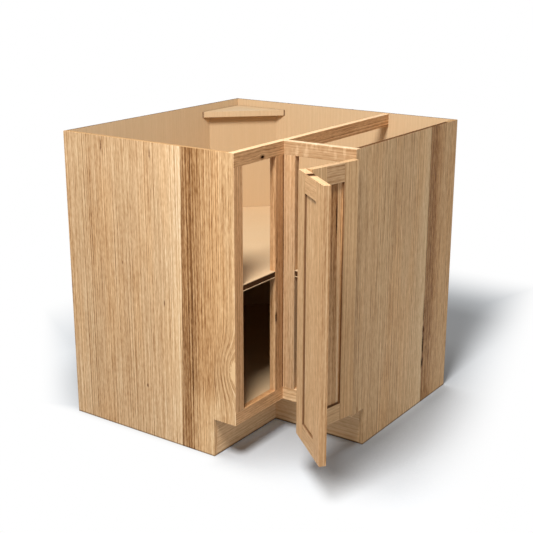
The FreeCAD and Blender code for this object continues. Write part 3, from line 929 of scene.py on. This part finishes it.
solid_wood("leaf_2_free_stile", "wood", "YXZ", 47.0, 0.01, ("Y", -1, LIGHT_SHADE),
           turns=CLOSE_LEAF_2, top=LEAF_TOP_HIGHLIGHT, tint=ROSE_BOARD)
solid_wood("leaf_2_top_rail", "wood", "ZXY", 48.0, 0.02,
           turns=CLOSE_LEAF_2, knots=(TOP_KNOT,), top=LEAF_TOP_HIGHLIGHT, contrast=QUIET, tint=ROSE_BOARD)
solid_wood("leaf_2_bottom_rail", "wood", "ZXY", 49.0, 0.03, ("Z", 1, DARK_SHADE),
           turns=CLOSE_LEAF_2, top=0.0, tint=ROSE_BOARD)
leaf_panel("leaf_2_panel", "YXZ", 50.0, 0.05, CLOSE_LEAF_2, LEAF_2_SIGHT, ROSE_BOARD)

# Dark band on the shelf's edge: size of its chips and its roughness
CHIP_SCALES = (420.0, 900.0)
CHIP_ROUGHNESS = 0.2
SHELF_BAND_ROUGHNESS = 0.6

# Plated steel: the brushed grain, the mottled tone and the roughness
BRUSHED_SCALES = (900.0, 60.0)
MOTTLE_SCALES = (90.0, 90.0)
BRUSHED_ROUGHNESS = 0.22
STEEL_ROUGHNESS = 0.20


def shelf_band_material():
    """Dark brown band on the shelf's front edge, between its two pale skins."""
    material, graph = new_material("dark_edging")
    chips = graph.noise(*object_place(graph), CHIP_SCALES, 2.0)
    rough = graph.plus(graph.times(chips, CHIP_ROUGHNESS), SHELF_BAND_ROUGHNESS)
    close_material(graph, Finish(graph.ramp(chips, SHELF_BAND_TONES), chips, rough), SHELF_BAND_RELIEF)
    return material


def steel_material():
    """Bright plated steel with a faint brushed grain."""
    material, graph = new_material("hinge_steel")
    place = object_place(graph)
    brushed = graph.noise(*place, BRUSHED_SCALES, 2.0)
    colour = graph.ramp(graph.noise(*place, MOTTLE_SCALES, 2.0), STEEL_TONES)
    rough = graph.plus(graph.times(brushed, BRUSHED_ROUGHNESS), STEEL_ROUGHNESS)
    close_material(graph, Finish(colour, brushed, rough, BRIGHT), STEEL_RELIEF, STEEL_STRENGTH, 1.0)
    return material


# Rounded edges on every board and a fine chamfer on the steel, made after faces in one plane are joined
EASE = 0.0005
EASE_SEGMENTS = 2
STEEL_EASE = 0.00012
STEEL_SEGMENTS = 1
EASE_ANGLE = 40.0
WELD_GAP = 0.000001
FLAT_ANGLE = 1.0


def ease_edges(piece, width, segments):
    weld = piece.modifiers.new("weld", "WELD")
    weld.merge_threshold = WELD_GAP
    flat = piece.modifiers.new("flat", "DECIMATE")
    flat.decimate_type = "DISSOLVE"
    flat.angle_limit = math.radians(FLAT_ANGLE)
    ease = piece.modifiers.new("ease", "BEVEL")
    ease.width = width
    ease.segments = segments
    ease.limit_method = "ANGLE"
    ease.angle_limit = math.radians(EASE_ANGLE)
    smooth = piece.modifiers.new("smooth", "WEIGHTED_NORMAL")
    smooth.keep_sharp = False


shelf_band = shelf_band_material()
steel = steel_material()
for name, piece in nodes.items():
    if name.startswith(("hinge_", "fold_")):
        dress(name, steel)
        ease_edges(piece, STEEL_EASE, STEEL_SEGMENTS)
    else:
        if name.startswith("shelf_edge"):
            dress(name, shelf_band)
        ease_edges(piece, EASE, EASE_SEGMENTS)


def seen_rays(graph):
    """1 for the rays that show a surface: straight from the camera, or by gloss or glass."""
    rays = graph.add("ShaderNodeLightPath").outputs
    seen = graph.larger(rays["Is Camera Ray"], rays["Is Glossy Ray"])
    return graph.larger(seen, rays["Is Transmission Ray"])


def floor_tone(graph, x, y, seen):
    """Colour of the floor, darker where the cabinet hides the sky from it."""
    beside = graph.larger(graph.larger(graph.minus(x, WALL_RUN), graph.times(x, -1.0)), y)
    contact = graph.times(graph.step(beside, -CONTACT_EDGE, CONTACT_EDGE), graph.step(y, *CONTACT_FRONT))
    aside = graph.minus(x, NOTCH_CENTRE[0])
    ahead = graph.minus(y, NOTCH_CENTRE[1])
    notch = spot(graph, aside, ahead, *NOTCH_HALF, NOTCH_SOFT)
    contact = graph.blend(contact, graph.times(graph.minus(1.0, notch), CONTACT_LEAST), 1.0)
    open_share = graph.add("ShaderNodeAmbientOcclusion", {"Distance": CONTACT_REACH}).outputs["AO"]
    hidden_share = graph.minus(1.0, graph.math("POWER", open_share, CONTACT_POWER))
    shade = graph.times(graph.times(hidden_share, contact), seen)
    tone = graph.mix(seen, FLOOR_BOUNCE, graph.tint(notch, FLOOR_TONE, NOTCH_TINT))
    return graph.mix(shade, tone, BLACK)


def floor_fade(graph, x, y):
    """1 where the floor is plain white, 0 near the cabinet's foot."""
    right = graph.minus(x, WALL_RUN)
    left = graph.times(x, -1.0)
    front = graph.minus(-WALL_RUN, y)
    before_end = graph.step(front, *END_FADE)
    before_notch = graph.step(front, *FRONT_FADE)
    before_door = graph.step(front, *DOOR_FADE)
    ahead = graph.blend(graph.step(x, *FRONT_SIDE), before_end, before_notch)
    ahead = graph.blend(graph.step(x, *DOOR_SIDE), ahead, before_door)
    fade = graph.larger(graph.step(y, *BACK_FADE), ahead)
    for gap, reach in (
        (graph.plus(right, graph.times(y, RIGHT_LEAN)), RIGHT_FADE),
        (graph.plus(left, graph.times(front, LEFT_LEAN)), LEFT_FADE),
        (left, LEFT_FAR),
    ):
        fade = graph.larger(fade, graph.step(gap, *reach))
    return fade


def floor():
    """Pale floor that takes the shadow near the cabinet and is plain white to the camera far away."""
    mesh = bpy.data.meshes.new("floor")
    corners = [(-FLOOR_HALF, -FLOOR_HALF), (FLOOR_HALF, -FLOOR_HALF), (FLOOR_HALF, FLOOR_HALF),
               (-FLOOR_HALF, FLOOR_HALF)]
    mesh.from_pydata([(x, y, -FLOOR_DROP) for x, y in corners], [], [(0, 1, 2, 3)])
    piece = bpy.data.objects.new("floor", mesh)
    bpy.context.scene.collection.objects.link(piece)
    material, graph = new_material("floor_white")
    seen = seen_rays(graph)
    place = object_place(graph)
    near = graph.add("ShaderNodeBsdfDiffuse", {"Color": floor_tone(graph, place[0], place[1], seen)})
    far = graph.add("ShaderNodeEmission", {"Color": WHITE, "Strength": 1.0})
    fade = graph.times(floor_fade(graph, place[0], place[1]), seen)
    both = graph.add("ShaderNodeMixShader", {0: fade, 1: near.outputs[0], 2: far.outputs[0]})
    output = graph.add("ShaderNodeOutputMaterial")
    graph.feed(output.inputs["Surface"], both.outputs[0])
    mesh.materials.append(material)


def soft_lamp(name, place, aim, size, power):
    """A round lamp of this size, turned to its aim."""
    lamp = bpy.data.lights.new(name, "AREA")
    lamp.shape = "DISK"
    lamp.size = size
    lamp.energy = power
    piece = bpy.data.objects.new(name, lamp)
    x, y, z = [start - end for start, end in zip(place, aim)]
    piece.location = place
    piece.rotation_euler = (math.atan2(math.hypot(x, y), z), 0.0, math.atan2(y, x) + math.pi / 2.0)
    bpy.context.scene.collection.objects.link(piece)


def surround():
    """Even light from all sides. The camera and reflections see it as plain white."""
    world = bpy.data.worlds.new("surround")
    world.use_nodes = True
    world.node_tree.nodes.clear()
    graph = Graph(world.node_tree)
    level = graph.plus(graph.times(seen_rays(graph), 1.0 - SURROUND_LEVEL), SURROUND_LEVEL)
    shade = graph.add("ShaderNodeBackground", {"Color": WHITE, "Strength": level})
    output = graph.add("ShaderNodeOutputWorld")
    graph.feed(output.inputs["Surface"], shade.outputs[0])
    bpy.context.scene.world = world


def camera():
    lens = bpy.data.cameras.new("camera")
    lens.lens = CAMERA_LENS
    lens.sensor_width = CAMERA_SENSOR
    lens.clip_start = CAMERA_NEAR
    lens.clip_end = CAMERA_FAR
    piece = bpy.data.objects.new("camera", lens)
    piece.location = CAMERA_PLACE
    piece.rotation_euler = (math.radians(CAMERA_TILT), 0.0, math.radians(CAMERA_TURN))
    bpy.context.scene.collection.objects.link(piece)
    bpy.context.scene.camera = piece


floor()
soft_lamp("soft_box", BOX_PLACE, BOX_AIM, BOX_SIZE, BOX_POWER)
soft_lamp("fill", FILL_PLACE, FILL_AIM, FILL_SIZE, FILL_POWER)
surround()
camera()
bpy.context.scene.view_settings.view_transform = "Standard"
